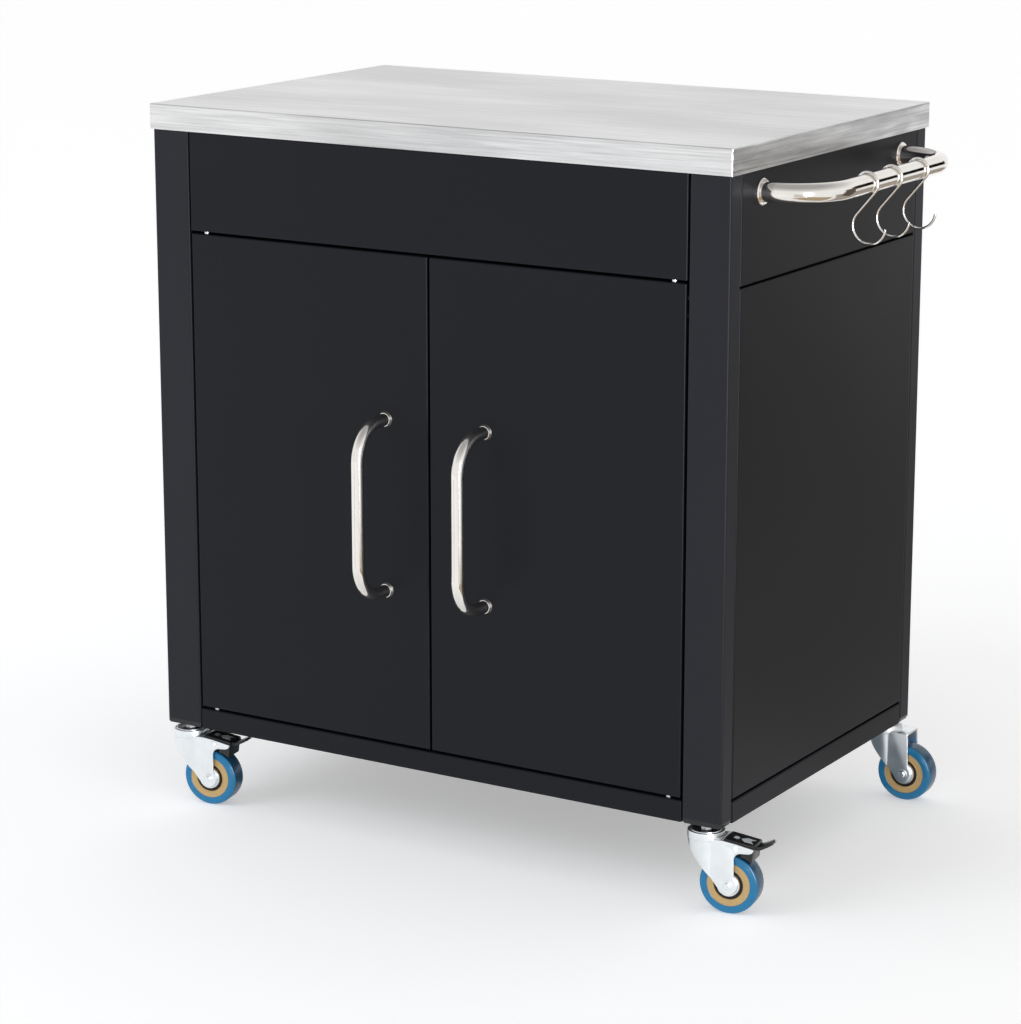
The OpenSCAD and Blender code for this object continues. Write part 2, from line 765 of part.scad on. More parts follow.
module towel_rail()
{
    in_frame() color("gainsboro") translate([side_x, 0, rail_axis]) difference() {
        rotate([-90, 90, 0]) bent_tube(rail_pitch, rail_out, rail_bend, rail_tube_d, rail_wall);
        for (e = [-1, 1]) translate([0, e * rail_pitch / 2, 0])
            cube([2 * rail_flange_t, 2 * rail_tube_d, 2 * rail_tube_d], center = true);
    }
}

module rail_flanges()
{
    in_frame() color("gainsboro") for (e = [-1, 1])
        translate([side_x, e * rail_pitch / 2, rail_axis]) rotate([0, 90, 0]) difference() {
            union() {
                cylinder(h = rail_flange_t - rail_chamfer, d = rail_flange_d);
                translate([0, 0, rail_flange_t - rail_chamfer])
                    cylinder(h = rail_chamfer, d1 = rail_flange_d,
                             d2 = rail_flange_d - 2 * rail_chamfer);
                cylinder(h = rail_flange_t + rail_spigot,
                         d = rail_tube_d - 2 * rail_wall - 2 * running_fit);
            }
            translate([0, 0, -cut])
                cylinder(h = rail_flange_t + rail_spigot + 2 * cut, d = screw_d + 2 * running_fit);
        }
}

// S-hook of round wire in the XZ plane, hanging on the rail at the place y. It is drawn with its
// stem upright, between an upper loop about the origin and a lower loop, and then leaned.

hook_r = rail_tube_d / 2 + surface_gap + hook_wire_d / 2;
hook_span = norm([hook_offset, hook_drop]);
hook_stem_l = sqrt(pow(hook_span, 2) - pow(hook_r + hook_loop_r, 2));
hook_lean = atan2(-hook_drop, hook_offset) + acos((hook_r + hook_loop_r) / hook_span);

module wire_arc(r, a0, a1)
{
    rotate([90, 0, 0]) rotate([0, 0, a0])
        rotate_extrude(angle = a1 - a0) translate([r, 0]) circle(d = hook_wire_d);
}

module hook(y)
{
    in_frame() color("gainsboro") translate([side_x + rail_out, y, rail_axis])
        rotate([0, -hook_lean, 0]) union() {
            wire_arc(hook_r, 0, hook_end_angle - hook_lean);
            translate([hook_r, 0, -hook_stem_l]) cylinder(h = hook_stem_l, d = hook_wire_d);
            translate([hook_r + hook_loop_r, 0, -hook_stem_l])
                wire_arc(hook_loop_r, 180, 360 + hook_tip_angle - hook_lean);
        }
}

// Casters. Each is drawn with its swivel axis on the origin, its trail towards +X
// and the floor at Z = 0, and is then turned and moved to its leg.

fork_in = fork_w / 2 - fork_t;
guard_t = fork_in - wheel_w / 2 - surface_gap;
race_z = crown_z + ball_d + 2 * surface_gap;
race_t = 1.2;
race_r = ring_d / 2 - 3 - 2 * surface_gap;
ball_ring_r = stem_d / 2 + ball_d + 4;
cap_z = race_z + race_t;
nut_h = 6;
nut_z = leg_z - nut_h;
nut_d = stem_d + 5;
kingpin_z = crown_z - fork_t - surface_gap;
kingpin_h = 3;
kingpin_d = stem_d + 7;

module at_caster(sx, sy)
{
    in_frame() translate([sx * leg_x, sy * leg_y, 0])
        rotate([0, 0, sy < 0 ? yaw_front : yaw_rear]) children();
}

module caster_stems()
{
    color("silver") for (sx = [-1, 1], sy = [-1, 1])
        in_frame() translate([sx * leg_x, sy * leg_y, 0]) {
            translate([0, 0, kingpin_z - kingpin_h])
                cylinder(h = leg_z + stem_reach - kingpin_z + kingpin_h, d = stem_d);
            translate([0, 0, kingpin_z - kingpin_h]) cylinder(h = kingpin_h, d = kingpin_d);
            translate([0, 0, race_z]) cylinder(h = race_t, r = race_r);
            translate([0, 0, nut_z]) cylinder(h = nut_h, d = nut_d, $fn = 6);
        }
}

module dust_caps()
{
    in_frame() color("#1d1f22") for (sx = [-1, 1], sy = [-1, 1])
        translate([sx * leg_x, sy * leg_y, cap_z]) difference() {
            cylinder(h = nut_z - cap_z, r = race_r);
            translate([0, 0, -cut])
                cylinder(h = nut_z - cap_z + 2 * cut, d = stem_d + 2 * running_fit);
        }
}

module swivel_balls()
{
    in_frame() color("silver") for (sx = [-1, 1], sy = [-1, 1], i = [0 : ball_count - 1])
        translate([sx * leg_x, sy * leg_y, crown_z + surface_gap + ball_d / 2])
            rotate([0, 0, i * 360 / ball_count]) translate([ball_ring_r, 0, 0])
                sphere(d = ball_d, $fn = 16);
}

// Side view of a fork: a raked front edge, a round foot at the axle, and an arm over the wheel
// where the fork carries a brake
foot_r = 11;
arm_x = 61;
arm_under_z = 75;
arch_r = 8.5;
rear_edge_x = trail + 7.5;

module fork_side(braked)
{
    axle_z = wheel_d / 2;
    top = ring_z + cut;
    union() {
        translate([trail, axle_z]) circle(foot_r);
        difference() {
            polygon(braked
                ? [[-ring_d / 2 - 1, top], [-ring_d / 2 - 1, crown_z - 4], [trail - 30, 55],
                   [trail - foot_r, axle_z - 4], [rear_edge_x, axle_z],
                   [rear_edge_x, arm_under_z - arch_r], [rear_edge_x + arch_r, arm_under_z],
                   [arm_x - 5, arm_under_z + 0.5], [arm_x - 1.5, arm_under_z + 2],
                   [arm_x, arm_under_z + 4.5], [arm_x, crown_z - 6], [brake_pivot_x, crown_z - 1.7],
                   [ring_d / 2 + 4, crown_z + 0.2], [ring_d / 2, crown_z + 0.2], [ring_d / 2, top]]
                : [[-ring_d / 2 - 1, top], [-ring_d / 2 - 1, crown_z - 4], [trail - 30, 55],
                   [trail - foot_r, axle_z - 4], [rear_edge_x, axle_z], [rear_edge_x - 2, crown_z],
                   [ring_d / 2, crown_z], [ring_d / 2, top]]);
            if (braked) translate([rear_edge_x + arch_r, arm_under_z - arch_r]) circle(arch_r);
        }
    }
}

// Plan of the fork's outside, and of its inside when it is drawn smaller by fork_t
module fork_plan(inset)
{
    union() {
        circle(r = ring_d / 2 - 1 - inset);
        translate([0, -fork_w / 2 + inset]) square([arm_x + 10, fork_w - 2 * inset]);
    }
}

module fork(sx, sy)
{
    braked = sy < 0;
    at_caster(sx, sy) color("#dde4e6") difference() {
        union() {
            intersection() {
                linear_extrude(crown_z + 0.2) fork_plan(0);
                rotate([90, 0, 0]) linear_extrude(2 * ring_d, center = true) fork_side(braked);
            }
            translate([0, 0, crown_z - fork_t]) cylinder(h = ring_z - crown_z + fork_t, d = ring_d);
        }
        // room for the wheel, below the crown
        intersection() {
            translate([0, 0, -cut]) linear_extrude(crown_z - fork_t + cut) fork_plan(fork_t);
            translate([-ring_d, -ring_d, -cut]) cube([4 * ring_d, 2 * ring_d, crown_z]);
        }
        // room for the pedal, behind the swivel ring
        if (braked) translate([ring_d / 2, -fork_in, crown_z - fork_t - cut])
            cube([arm_x, 2 * fork_in, 2 * fork_t + cut]);
        translate([0, 0, crown_z]) cylinder(h = ring_z, r = race_r + surface_gap);
        cylinder(h = ring_z, d = stem_d + 2 * running_fit);
        translate([trail, 0, wheel_d / 2]) rotate([90, 0, 0])
            cylinder(h = 2 * fork_w, d = axle_d + 2 * running_fit, center = true);
        if (braked) translate([brake_pivot_x, 0, brake_pivot_z]) rotate([90, 0, 0])
            cylinder(h = 2 * fork_w, d = brake_pin_d + 2 * running_fit, center = true);
    }
}

// Axle: a shaft with a riveted head on the front side and a nut on the back
module axle(sx, sy)
{
    at_caster(sx, sy) color("silver") translate([trail, 0, wheel_d / 2]) {
        rotate([90, 0, 0]) cylinder(h = fork_w + 6, d = axle_d, center = true);
        translate([0, -fork_w / 2, 0]) rotate([90, 0, 0])
            cylinder(h = 1, d = axle_d + 6);
        translate([0, -fork_w / 2 - 1, 0]) rotate([90, 0, 0]) rivet_head(axle_d + 3, 2);
        translate([0, fork_w / 2, 0]) rotate([-90, 0, 0])
            cylinder(h = 4, d = axle_d + 5.5, $fn = 6);
    }
}

module guards(sx, sy)
{
    at_caster(sx, sy) color("#e4e8ea") for (e = [0, 1])
        translate([trail, 0, wheel_d / 2]) mirror([0, e, 0])
            translate([0, -fork_in, 0]) rotate([-90, 0, 0]) difference() {
                cylinder(h = guard_t, d = guard_d);
                translate([0, 0, -cut])
                    cylinder(h = guard_t + 2 * cut, d = axle_d + 2 * running_fit);
            }
}

recess_depth = 4;

module core(sx, sy)
{
    at_caster(sx, sy) color("#cfa96b") translate([trail, 0, wheel_d / 2]) rotate([90, 0, 0])
        rotate_extrude($fn = 72) difference() {
            translate([axle_d / 2 + running_fit, -wheel_w / 2])
                square([core_d / 2 - axle_d / 2 - running_fit, wheel_w]);
            for (e = [0, 1]) mirror([0, e]) translate([guard_d / 2, wheel_w / 2 - recess_depth])
                square([(recess_d - guard_d) / 2, recess_depth + cut]);
        }
}

module tyre(sx, sy)
{
    at_caster(sx, sy) color("#2f86bc") translate([trail, 0, wheel_d / 2]) rotate([90, 0, 0])
        rotate_extrude($fn = 96) intersection() {
            translate([core_d / 2 + running_fit, -wheel_w / 2])
                square([(wheel_d - core_d) / 2 - running_fit, wheel_w]);
            round_rect(wheel_d, wheel_w, tyre_shoulder);
        }
}

// Brakes: a moulded pedal with its shoe, on a steel lever that turns on a pin in the fork

pedal_w = 2 * fork_in - 2 * surface_gap;
pedal_front_x = ring_d / 2 + 2;
pedal_end_x = 62;
pedal_base_z = brake_pivot_z + 2.3;
pedal_top_z = brake_pivot_z + 7.5;
shoe_x = 47;
shoe_gap = 1.2;
window_w = 14;
lever_z = brake_pivot_z + 3.4;
lever_x = 30;
lever_l = 27;
leaf_x = 40.5;
leaf_l = 17;
leaf_top = pedal_top_z - 0.5;
contact = 0.01;

module pedal_side()
{
    union() {
        polygon([[pedal_front_x, pedal_base_z], [pedal_front_x, pedal_top_z - 1.4],
                 [pedal_front_x + 3, pedal_top_z], [pedal_end_x - 2, pedal_top_z],
                 [pedal_end_x, pedal_top_z - 1.4], [pedal_end_x + 3.5, pedal_top_z - 0.4],
                 [pedal_tip_x - 2, pedal_top_z + 7.4], [pedal_tip_x, pedal_top_z + 5],
                 [pedal_end_x + 5.5, pedal_base_z + 1.4], [pedal_end_x, pedal_base_z - 0.6],
                 [pedal_end_x - 4, pedal_base_z]]);
        // arm and shoe above the tread; pressed down, the shoe stops just short of the tyre
        difference() {
            polygon([[shoe_x, pedal_base_z + 1], [pedal_end_x - 1.5, pedal_base_z + 1],
                     [pedal_end_x - 1, pedal_base_z - 16.3],
                     [pedal_end_x - 4, pedal_base_z - 20], [shoe_x, pedal_base_z - 13]]);
            translate([brake_pivot_x, brake_pivot_z]) rotate(press_angle + pedal_tilt)
                translate([trail - brake_pivot_x, wheel_d / 2 - brake_pivot_z])
                    circle(wheel_d / 2 + shoe_gap, $fn = 96);
        }
    }
}

// The brake is drawn with its tread level, and is then turned about its pivot to slope down
module at_brake(sx)
{
    at_caster(sx, -1) translate([brake_pivot_x, 0, brake_pivot_z]) rotate([0, pedal_tilt, 0])
        translate([-brake_pivot_x, 0, -brake_pivot_z]) children();
}

module brake_pedal(sx)
{
    at_brake(sx) color("#1e2023") difference() {
        intersection() {
            rotate([90, 0, 0]) linear_extrude(2 * fork_w, center = true) pedal_side();
            linear_extrude(leg_z) union() {
                translate([pedal_front_x, -pedal_w / 2])
                    square([pedal_end_x - 0.8 - pedal_front_x, pedal_w]);
                translate([pedal_end_x - 3, -pedal_tip_w / 2])
                    square([pedal_tip_x - 6 - pedal_end_x + 3, pedal_tip_w]);
                translate([pedal_tip_x - 6, 0]) intersection() {
                    round_rect(12, pedal_tip_w, 5.5);
                    translate([-1, -pedal_tip_w]) square([8, 2 * pedal_tip_w]);
                }
            }
        }
        translate([0, 0, lever_z]) linear_extrude(leg_z - lever_z) leaf(loose_fit);
        translate([0, 0, lever_z]) linear_extrude(leg_z - lever_z) tongue(loose_fit);
        translate([brake_pivot_x, 0, brake_pivot_z]) rotate([90, 0, 0])
            cylinder(h = 2 * fork_w, d = brake_pin_d + 4, center = true);
        translate([lever_x - 2, -window_w / 2 - 2, brake_pivot_z])
            cube([lever_l + 4, window_w + 4, lever_z - brake_pivot_z + contact]);
    }
}

// The lever's bright leaf, seen through the pedal from above: an arrow with a notched end
module leaf(grow)
{
    polygon([[leaf_x - grow, 0], [leaf_x + 6, window_w / 2 + grow],
             [leaf_x + leaf_l + grow, window_w / 2 + grow], [leaf_x + leaf_l - 5 + grow, 0],
             [leaf_x + leaf_l + grow, -window_w / 2 - grow], [leaf_x + 6, -window_w / 2 - grow]]);
}

// The smaller pad in front of the leaf
module tongue(grow)
{
    translate([leaf_x - 5, 0]) round_rect(6 + 2 * grow, 8 + 2 * grow, 2.5);
}

module brake_lever(sx)
{
    at_brake(sx) color("silver") {
        translate([lever_x, -window_w / 2, lever_z - 2]) cube([lever_l, window_w, 2]);
        translate([0, 0, lever_z - 1]) linear_extrude(leaf_top - lever_z + 1) leaf(0);
        translate([0, 0, lever_z - 1]) linear_extrude(leaf_top - lever_z + 1) tongue(0);
        for (e = [-1, 1]) translate([brake_pivot_x - 4, e * (window_w / 2 - 1) - 1, brake_pivot_z])
            cube([8, 2, lever_z - brake_pivot_z - 1]);
        translate([brake_pivot_x, 0, brake_pivot_z]) rotate([90, 0, 0])
            cylinder(h = fork_w + 2 * surface_gap, d = brake_pin_d, center = true);
        for (e = [0, 1]) mirror([0, e, 0])
            translate([brake_pivot_x, -fork_w / 2 - surface_gap, brake_pivot_z])
                rotate([90, 0, 0]) rivet_head(8, 1.2);
    }
}

worktop_shell();
worktop_core();
leg(-1, -1);  // leg_front_left
leg(1, -1);  // leg_front_right
leg(-1, 1);  // leg_rear_left
leg(1, 1);  // leg_rear_right
leg_plugs();
front_apron();
side_panel(-1, upper_side_z, cabinet_top, upper_screws, true);  // upper_side_left
side_panel(1, upper_side_z, cabinet_top, upper_screws, true);  // upper_side_right
side_panel(-1, panel_z, seam_low, lower_screws, false);  // lower_side_left
side_panel(1, panel_z, seam_low, lower_screws, false);  // lower_side_right
rear_panel();
base_tray();
middle_shelf();
shelf_angles();
cabinet_screws();
hinge_pins();
magnet_catches();
towel_rail();
rail_flanges();
caster_stems();
dust_caps();
swivel_balls();
door(-1, -handle_in_left);  // door_left
handle(-handle_in_left);  // handle_left
handle_screws(-handle_in_left);  // handle_screws_left
pivot_brackets(-1);  // pivot_brackets_left
door(1, handle_in_right);  // door_right
handle(handle_in_right);  // handle_right
handle_screws(handle_in_right);  // handle_screws_right
pivot_brackets(1);  // pivot_brackets_right
hook(hook_at[0]);  // hook_front
hook(hook_at[1]);  // hook_middle
hook(hook_at[2]);  // hook_rear
fork(-1, -1);  // fork_front_left
axle(-1, -1);  // axle_front_left
guards(-1, -1);  // guards_front_left
core(-1, -1);  // core_front_left
tyre(-1, -1);  // tyre_front_left
fork(1, -1);  // fork_front_right
axle(1, -1);  // axle_front_right
guards(1, -1);  // guards_front_right
core(1, -1);  // core_front_right
tyre(1, -1);  // tyre_front_right
fork(-1, 1);  // fork_rear_left
axle(-1, 1);  // axle_rear_left
guards(-1, 1);  // guards_rear_left
core(-1, 1);  // core_rear_left
tyre(-1, 1);  // tyre_rear_left
fork(1, 1);  // fork_rear_right
axle(1, 1);  // axle_rear_right
guards(1, 1);  // guards_rear_right
core(1, 1);  // core_rear_right
tyre(1, 1);  // tyre_rear_right
brake_pedal(-1);  // brake_pedal_front_left
brake_lever(-1);  // brake_lever_front_left
brake_pedal(1);  // brake_pedal_front_right
brake_lever(1);  // brake_lever_front_right
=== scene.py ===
import json
import math

import bpy
from mathutils import Matrix, Vector

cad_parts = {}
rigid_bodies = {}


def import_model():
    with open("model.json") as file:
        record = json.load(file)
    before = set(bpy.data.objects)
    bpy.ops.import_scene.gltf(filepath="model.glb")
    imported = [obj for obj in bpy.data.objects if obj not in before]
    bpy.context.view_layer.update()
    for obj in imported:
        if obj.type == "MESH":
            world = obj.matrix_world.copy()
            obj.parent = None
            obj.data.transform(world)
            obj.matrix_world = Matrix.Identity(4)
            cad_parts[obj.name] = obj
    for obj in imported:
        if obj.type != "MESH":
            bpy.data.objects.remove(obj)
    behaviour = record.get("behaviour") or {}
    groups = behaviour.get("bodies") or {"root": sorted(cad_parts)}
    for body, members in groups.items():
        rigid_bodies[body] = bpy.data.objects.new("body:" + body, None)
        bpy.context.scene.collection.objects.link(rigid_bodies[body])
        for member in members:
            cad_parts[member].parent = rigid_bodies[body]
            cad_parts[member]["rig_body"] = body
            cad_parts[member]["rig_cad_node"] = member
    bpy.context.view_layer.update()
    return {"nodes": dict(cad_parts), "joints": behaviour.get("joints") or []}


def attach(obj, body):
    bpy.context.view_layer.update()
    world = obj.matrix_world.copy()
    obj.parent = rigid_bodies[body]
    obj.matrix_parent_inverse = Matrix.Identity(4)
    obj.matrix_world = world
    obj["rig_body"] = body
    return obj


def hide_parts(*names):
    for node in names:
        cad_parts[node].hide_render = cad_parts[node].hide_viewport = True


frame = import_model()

nodes = frame["nodes"]
joints = {joint["name"]: joint for joint in frame["joints"]}


# Studio floor: one wide sheet of matt white acrylic, far larger than the view and lit a
# little from below, as for a catalogue picture. It isn't part of the cart.

def rgb(code):
    """A colour written in sRGB hex, as the linear colour that a shader reads."""
    parts = [int(code[i:i + 2], 16) / 255 for i in (1, 3, 5)]
    return [p / 12.92 if p <= 0.04045 else ((p + 0.055) / 1.055) ** 2.4 for p in parts] + [1.0]


def add(tree, kind, inputs=None, **settings):
    """Adds a node with its settings; each input takes a value, or a socket to be linked."""
    made = tree.nodes.new(kind)
    for name, value in settings.items():
        setattr(made, name, value)
    for name, value in (inputs or {}).items():
        if isinstance(value, bpy.types.NodeSocket):
            tree.links.new(value, made.inputs[name])
        else:
            made.inputs[name].default_value = value
    return made


def blank(name):
    """A new material with an empty node tree."""
    material = bpy.data.materials.new(name)
    material.use_nodes = True
    material.node_tree.nodes.clear()
    return material, material.node_tree


bpy.ops.object.select_all(action="DESELECT")
bpy.ops.mesh.primitive_circle_add(vertices=96, radius=60, fill_type="NGON")
floor = bpy.context.object
floor.name = "studio_floor"
acrylic, tree = blank("matt_white_acrylic_floor")
place = add(tree, "ShaderNodeTexCoord").outputs["Object"]
cloud = add(tree, "ShaderNodeTexNoise", {"Vector": place, "Scale": 0.7, "Detail": 3.0})
tone = add(tree, "ShaderNodeMix", {"Factor": cloud.outputs["Fac"], "A": rgb("#F3F3F2"),
                                   "B": rgb("#F7F7F7")}, data_type="RGBA")
surface = add(tree, "ShaderNodeBsdfPrincipled", {
    "Base Color": tone.outputs["Result"], "Roughness": 0.8, "Specular IOR Level": 0.1,
    "Emission Color": rgb("#FFFFFF"), "Emission Strength": 0.35})
add(tree, "ShaderNodeOutputMaterial", {"Surface": surface.outputs["BSDF"]})
floor.data.materials.append(acrylic)


# Studio light: a bright surround that darkens overhead, and a soft cool box above the front
# left for matt surfaces alone. A tall strip at the right front lines the folded edges, and
# cards shape what bright metal mirrors; these show only in glossy surfaces. The dark card
# under the cart is painted shade, standing in for the shade beneath the cart.

world = bpy.data.worlds.new("pale_studio")
bpy.context.scene.world = world
world.use_nodes = True
tree = world.node_tree
tree.nodes.clear()
way = add(tree, "ShaderNodeSeparateXYZ",
          {"Vector": add(tree, "ShaderNodeTexCoord").outputs["Generated"]})
height = add(tree, "ShaderNodeMapRange", {"Value": way.outputs["Z"], "From Min": 0.4,
                                          "From Max": 0.9})
sky = add(tree, "ShaderNodeMix", {"Factor": height.outputs["Result"], "A": rgb("#FFFFFF"),
                                  "B": rgb("#B1B1B2")}, data_type="RGBA")
surround = add(tree, "ShaderNodeBackground", {"Color": sky.outputs["Result"], "Strength": 1.0})
add(tree, "ShaderNodeOutputWorld", {"Surface": surround.outputs["Background"]})


def aim(spot, target):
    """The turn that points a lamp or card from spot at target."""
    return (Vector(target) - Vector(spot)).to_track_quat("-Z", "Y").to_euler()


SOFT_BOXES = (
    # name, place, aimed at, width, height, watts, colour, for glossy surfaces
    ("cool_box", (-2.6, -3.4, 3.0), (0, 0, 0.5), 2.4, 1.8, 40, "#EAF1FF", False),
    ("edge_strip", (1.9, -1.45, 0.6), (0, -0.25, 0.45), 0.25, 1.4, 55, "#EEF0FF", True),
)
for name, spot, target, wide, high, watts, colour, glossy in SOFT_BOXES:
    bpy.ops.object.light_add(type="AREA", location=spot, rotation=aim(spot, target))
    lamp = bpy.context.object
    lamp.name = name
    lamp.data.shape = "RECTANGLE"
    lamp.data.size = wide
    lamp.data.size_y = high
    lamp.data.energy = watts
    lamp.data.color = rgb(colour)[:3]
    lamp.visible_camera = False
    lamp.visible_glossy = glossy
    lamp.visible_diffuse = not glossy

CARDS = (
    # name, place, aimed at, width, height, colour
    ("brown_card", (0.95, 0.46, 0.64), (0.44, -0.37, 0.88), 0.46, 0.6, "#5F554C"),
    ("black_card", (2.0, 3.3, 1.15), (0.45, 0, 0.8), 1.4, 0.9, "#0B0A0A"),
    ("warm_card", (1.45, 1.7, 0.012), (1.45, 1.7, 1), 2.0, 2.8, "#A8A097"),
    ("tan_card", (1.0, -0.35, 0.012), (1.0, -0.35, 1), 0.8, 1.0, "#B7A488"),
    # painted shade: a dark sheet on the floor under the cart, seen only in glossy surfaces, for
    # the shade beneath the cart
    ("painted_shade_under_cart", (-0.05, 0.05, 0.012), (-0.05, 0.05, 1), 0.8, 0.42, "#565F66"),
    ("pale_card", (0.92, -1.01, 0.35), (-0.05, -0.3, 0.35), 0.34, 1.0, "#DDD6CF"),
    ("grey_card", (-0.65, -1.34, 0.35), (-0.05, -0.3, 0.35), 0.16, 1.0, "#C2C3C6"),
)
for name, spot, target, wide, high, colour in CARDS:
    bpy.ops.mesh.primitive_plane_add(size=1, location=spot, rotation=aim(spot, target))
    card = bpy.context.object
    card.name = name
    card.scale = (wide, high, 1)
    paper, tree = blank(name + "_paper")
    glow = add(tree, "ShaderNodeEmission", {"Color": rgb(colour), "Strength": 1.0})
    add(tree, "ShaderNodeOutputMaterial", {"Surface": glow.outputs["Emission"]})
    card.data.materials.append(paper)
    card.visible_camera = False
    card.visible_diffuse = False
    card.visible_shadow = False
    card.visible_transmission = False


# Camera: where the photograph was taken from, a long lens a little above the worktop, off
# the cart's right front corner, with no shift.

LOOKS_DOWN = math.radians(13.84)
LOOKS_LEFT = math.radians(31.63)
bpy.ops.object.camera_add(location=(1.9700, -3.3136, 1.3264),
                          rotation=(math.radians(90) - LOOKS_DOWN, 0, LOOKS_LEFT))
camera = bpy.context.object
camera.name = "photo_camera"
camera.data.lens = 115.66
camera.data.sensor_width = 36
camera.data.clip_start = 0.05
camera.data.clip_end = 200
bpy.context.scene.camera = camera
bpy.context.scene.view_settings.view_transform = "Standard"


# Worktop: one stainless sheet folded down on four sides over a board. The sheet was
# brushed along the cart; its end folds show the brushing along themselves.

def wear(node_names, material):
    """Gives every slot of these CAD nodes one material."""
    for name in node_names:
        for slot in nodes[name].material_slots:
            slot.material = material


steel, tree = blank("brushed_stainless_sheet")
texture = add(tree, "ShaderNodeTexCoord")
facing = add(tree, "ShaderNodeSeparateXYZ", {"Vector": texture.outputs["Normal"]})
sideways = add(tree, "ShaderNodeMath", {0: facing.outputs["X"]}, operation="ABSOLUTE")
# 1 on the end folds, whose faces look along the cart, and 0 on the top and the long folds
on_end = add(tree, "ShaderNodeMath", {0: sideways.outputs[0], 1: 0.7}, operation="GREATER_THAN")
# a brushed line is 0.1 to 0.3 mm wide and some 200 mm long; drawn here, in metres, as streaks
# 130 mm long and 3 to 6 mm wide so that they show
LINE_LONG = 0.13
LINE_WIDE = 0.006
LINE_HIGH = 0.0026
along_x = add(tree, "ShaderNodeMapping", {"Vector": texture.outputs["Object"],
                                          "Scale": (1 / LINE_LONG, 1 / LINE_WIDE,
                                                    1 / LINE_HIGH)})
along_y = add(tree, "ShaderNodeMapping", {"Vector": texture.outputs["Object"],
                                          "Scale": (1 / LINE_WIDE, 1 / LINE_LONG,
                                                    1 / LINE_HIGH)})
grain_place = add(tree, "ShaderNodeMix", {"Factor": on_end.outputs[0],
                                          "A": along_x.outputs[0], "B": along_y.outputs[0]},
                  data_type="VECTOR")
grain = add(tree, "ShaderNodeTexNoise", {"Vector": grain_place.outputs["Result"], "Scale": 1.0,
                                         "Detail": 5.0, "Roughness": 0.62})
# the end folds were brushed by hand, with deeper lines
deepest = add(tree, "ShaderNodeMath", {0: on_end.outputs[0], 1: -0.1, 2: 0.66},
              operation="MULTIPLY_ADD")
# painted reflection: the end folds are painted lighter and darker in bands, a little aslant,
# some 110 mm long and 12 mm high, for the arcs of the surroundings that they mirror
band_place = add(tree, "ShaderNodeMapping", {"Vector": texture.outputs["Object"],
                                             "Rotation": (math.radians(7), 0, 0),
                                             "Scale": (1.0, 1 / 0.11, 1 / 0.012)})
bands = add(tree, "ShaderNodeTexNoise", {"Vector": band_place.outputs[0], "Scale": 1.0,
                                         "Detail": 2.0, "Distortion": 0.5})
band_tone = add(tree, "ShaderNodeMapRange", {"Value": bands.outputs["Fac"], "From Min": 0.42,
                                             "From Max": 0.62, "To Min": 0.80, "To Max": 1.10})
painted_reflection_bands = add(tree, "ShaderNodeMix", {"Factor": on_end.outputs[0], "A": 1.0,
                                     "B": band_tone.outputs["Result"]}, data_type="FLOAT")
# the brushed top looks faintly patchy, over some 300 mm along it and 140 mm across
patch_place = add(tree, "ShaderNodeMapping", {"Vector": texture.outputs["Object"],
                                              "Scale": (1 / 0.30, 1 / 0.14, 1 / 0.12)})
patches = add(tree, "ShaderNodeTexNoise", {"Vector": patch_place.outputs[0], "Scale": 1.0,
                                           "Detail": 2.0, "Roughness": 0.5})
patch_tone = add(tree, "ShaderNodeMapRange", {"Value": patches.outputs["Fac"], "From Min": 0.35,
                                              "From Max": 0.65})
base = add(tree, "ShaderNodeMix", {"Factor": patch_tone.outputs["Result"],
                                   "A": rgb("#DCDCDC"), "B": rgb("#F2F2F2")}, data_type="RGBA")
line_tone = add(tree, "ShaderNodeMapRange", {"Value": grain.outputs["Fac"], "From Min": 0.3,
                                             "From Max": 0.7, "To Max": 1.0,
                                             "To Min": deepest.outputs[0]})
# the brushed lines' tone, times the painted reflection bands on the end folds
shade = add(tree, "ShaderNodeMath", {0: line_tone.outputs["Result"],
                                     1: painted_reflection_bands.outputs["Result"]}, operation="MULTIPLY")
metal = add(tree, "ShaderNodeVectorMath", {0: base.outputs["Result"],
                                           "Scale": shade.outputs[0]}, operation="SCALE")
rough = add(tree, "ShaderNodeMapRange", {"Value": grain.outputs["Fac"], "From Min": 0.3,
                                         "From Max": 0.7, "To Min": 0.26, "To Max": 0.40})
ridge = add(tree, "ShaderNodeBump", {"Height": grain.outputs["Fac"], "Strength": 0.25,
                                     "Distance": 0.0003})
surface = add(tree, "ShaderNodeBsdfPrincipled", {
    "Base Color": metal.outputs[0], "Metallic": 1.0, "Roughness": rough.outputs["Result"],
    "Normal": ridge.outputs["Normal"]})
add(tree, "ShaderNodeOutputMaterial", {"Surface": surface.outputs["BSDF"]})
wear(["worktop_shell"], steel)


# Worktop core: a raw particle board that stiffens the folded sheet. Only its
# underside shows, between the panels.

board, tree = blank("raw_particle_board")
place = add(tree, "ShaderNodeTexCoord").outputs["Object"]
# chips of 2 to 6 mm, pressed flat
chips = add(tree, "ShaderNodeTexVoronoi", {"Vector": place, "Scale": 1 / 0.004})
tone = add(tree, "ShaderNodeMix", {"Factor": chips.outputs["Color"], "A": rgb("#B08D5E"),
                                   "B": rgb("#CDAE80")}, data_type="RGBA")
relief = add(tree, "ShaderNodeBump", {"Height": chips.outputs["Distance"], "Strength": 0.3,
                                      "Distance": 0.0003})
surface = add(tree, "ShaderNodeBsdfPrincipled", {"Base Color": tone.outputs["Result"],
                                                 "Roughness": 0.85,
                                                 "Normal": relief.outputs["Normal"]})
add(tree, "ShaderNodeOutputMaterial", {"Surface": surface.outputs["BSDF"]})
wear(["worktop_core"], board)


# Cabinet: folded mild steel sheet, phosphated and powder coated in a satin black. The coat
# has a fine orange peel, and its sheen drifts a little across each panel.

coat, tree = blank("satin_black_powder_coat")
place = add(tree, "ShaderNodeTexCoord").outputs["Object"]
# orange peel of about 1.5 mm
peel = add(tree, "ShaderNodeTexNoise", {"Vector": place, "Scale": 1 / 0.0015, "Detail": 2.0})
